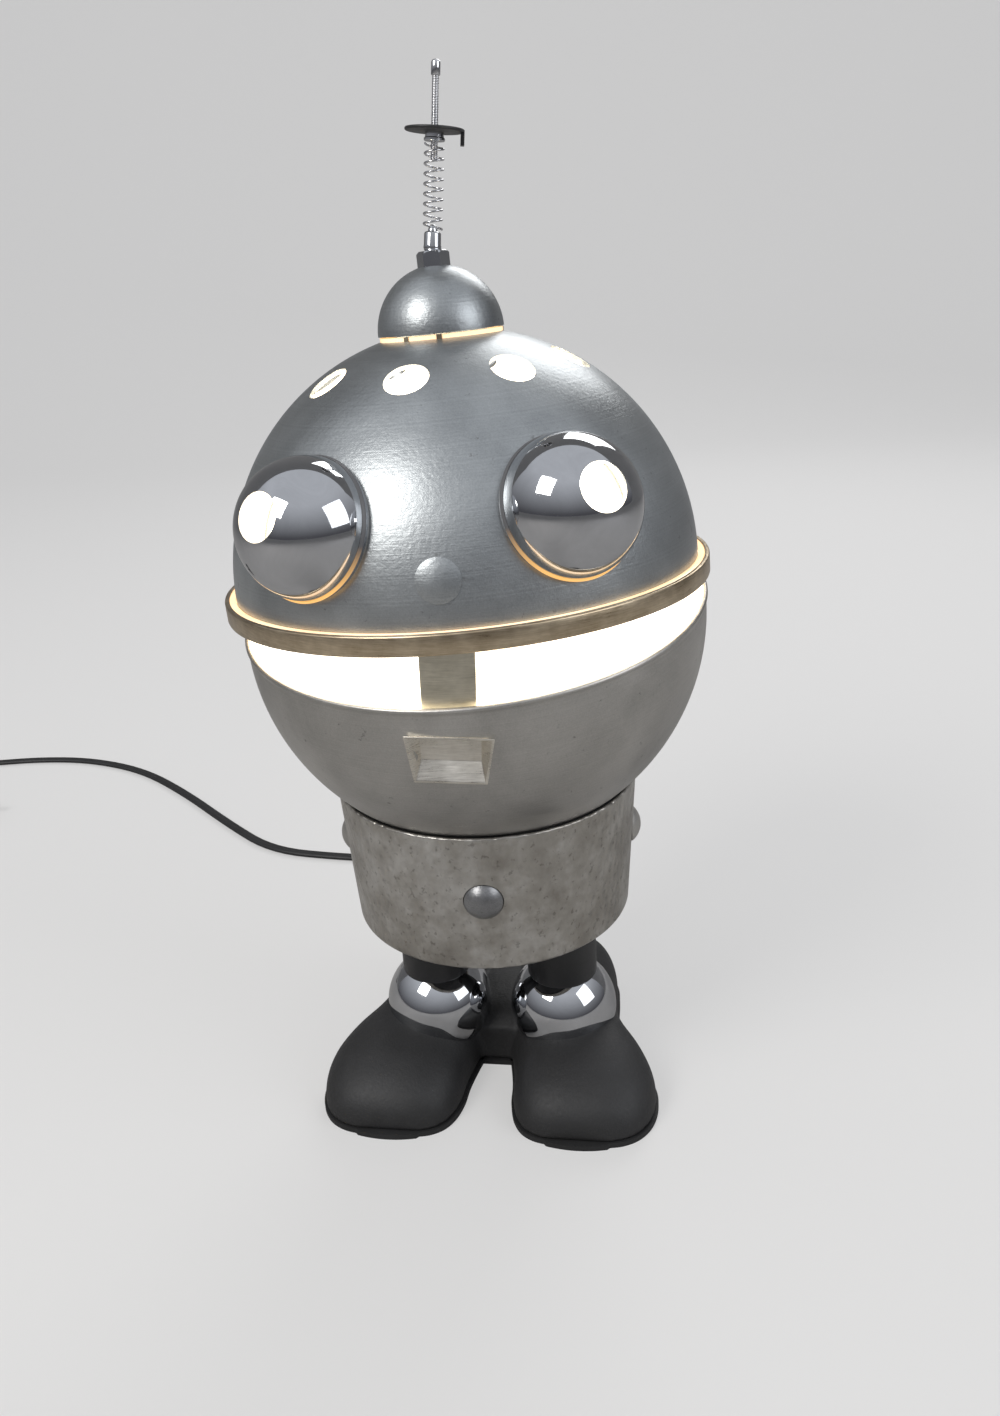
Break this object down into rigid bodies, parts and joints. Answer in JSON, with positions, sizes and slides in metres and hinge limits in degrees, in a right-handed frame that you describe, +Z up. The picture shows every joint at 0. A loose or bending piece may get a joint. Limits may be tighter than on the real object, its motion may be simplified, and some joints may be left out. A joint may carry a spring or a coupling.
{
  "type": "robot shaped desk lamp",
  "caption": "Robot shaped desk lamp: round steel head split at a glowing mouth, chrome eyes, antenna on a spring, drum body, two legs on black shoes and a mains lead.",
  "frame": {"origin": "on the table, under the middle of the body drum", "axes": "+Z up, the robot looks along -Y, its left is +X"},
  "size_m": [0.5882, 0.4501, 0.414],
  "materials": {
    "black_casting": "matte black paint on a fine sand casting",
    "sole_rubber": "matte",
    "chrome": "polished",
    "leg_black": "matte black",
    "zinc": "zinc plated",
    "drum_steel": "worn hammered steel",
    "seat_rubber": "matte",
    "button_steel": "dark worn steel",
    "black_plastic": "matte black",
    "brass": "plain",
    "bulb_glass": "frosted, lit",
    "head_steel": "satin grey metallic with fine scratches",
    "dish_metal": "pressed, semi-bright",
    "tooth_steel": "dull",
    "opal_glass": "opal white, lit from inside",
    "ring_metal": "satin",
    "spring_steel": "bright wire",
    "cord_rubber": "satin black flex"
  },
  "bodies": {
    "base": {"shoe_casting": "black_casting", "sole_pad": "sole_rubber", "ankle_ball_left": "chrome", "ankle_ball_right": "chrome", "leg_left": "leg_black", "leg_right": "leg_black", "leg_rods": "zinc", "leg_rod_nuts": "zinc", "body_drum": "drum_steel", "drum_floor": "leg_black", "leg_spacers": "zinc", "neck_bridge": "zinc", "bridge_posts": "zinc", "head_seat": "seat_rubber", "side_stud_left": "drum_steel", "side_stud_right": "drum_steel", "stud_nuts": "zinc", "switch_block": "black_plastic", "switch_bracket": "zinc", "neck_bush": "brass", "cord_gland": "cord_rubber", "cord_run": "cord_rubber", "cord_coil": "cord_rubber", "mains_plug": "black_plastic"},
    "neck": {"pressure_cup": "zinc", "spring_washer": "zinc", "neck_nut": "zinc", "neck_tube": "zinc", "neck_collar": "brass", "lampholder": "black_plastic", "bulb": "bulb_glass"},
    "gimbal": {"slotted_washer": "zinc"},
    "head": {"jaw_bowl": "head_steel", "chin_dish": "dish_metal", "tooth_strip": "tooth_steel", "hinge_lower": "zinc", "hinge_pin": "zinc", "opal_globe": "opal_glass", "globe_ring": "seat_rubber"},
    "crown": {"crown_bowl": "head_steel", "eye_left": "chrome", "eye_right": "chrome", "nose_button": "head_steel", "nose_nut": "zinc", "lip_ring": "ring_metal", "lip_tabs": "ring_metal", "hinge_upper": "zinc", "top_cap": "head_steel", "cap_tabs": "ring_metal", "cap_strap": "zinc", "cap_stem": "zinc", "antenna_nut": "chrome", "antenna_ferrule": "chrome"},
    "antenna": {"antenna_spring": "spring_steel", "antenna_hub": "spring_steel", "antenna_disc": "black_plastic", "antenna_rod": "spring_steel", "antenna_tip": "spring_steel"},
    "button": {"belly_button": "button_steel"}
  },
  "joints": [
    {"name": "neck_swivel", "type": "hinge", "parent": "base", "child": "neck", "pos_m": [0, 0, 0.2172], "axis": [0, 0, 1], "range_deg": [-150, 150]},
    {"name": "head_lean", "type": "hinge", "parent": "neck", "child": "gimbal", "pos_m": [0, 0, 0.2172], "axis": [0.0175, 0.9998, 0], "range_deg": [-5, 9]},
    {"name": "head_nod", "type": "hinge", "parent": "gimbal", "child": "head", "pos_m": [0, 0, 0.2172], "axis": [0.9987, -0.0174, 0.0471], "range_deg": [-12, 6]},
    {"name": "mouth_hinge", "type": "hinge", "parent": "head", "child": "crown", "pos_m": [0.00147, 0.09441, 0.2209], "axis": [-0.9987, 0.0174, -0.0471], "range_deg": [0, 60]},
    {"name": "antenna_sway", "type": "hinge", "parent": "crown", "child": "antenna", "pos_m": [-0.00754, 0.00515, 0.35956], "axis": [0.0191, 0.9992, -0.0349], "range_deg": [-12, 12], "stiffness_Nm_per_rad": 0.05},
    {"name": "button_press", "type": "slide", "parent": "base", "child": "button", "axis": [0, 1, 0], "range_m": [0, 0.002], "stiffness_N_per_m": 400}
  ]
}
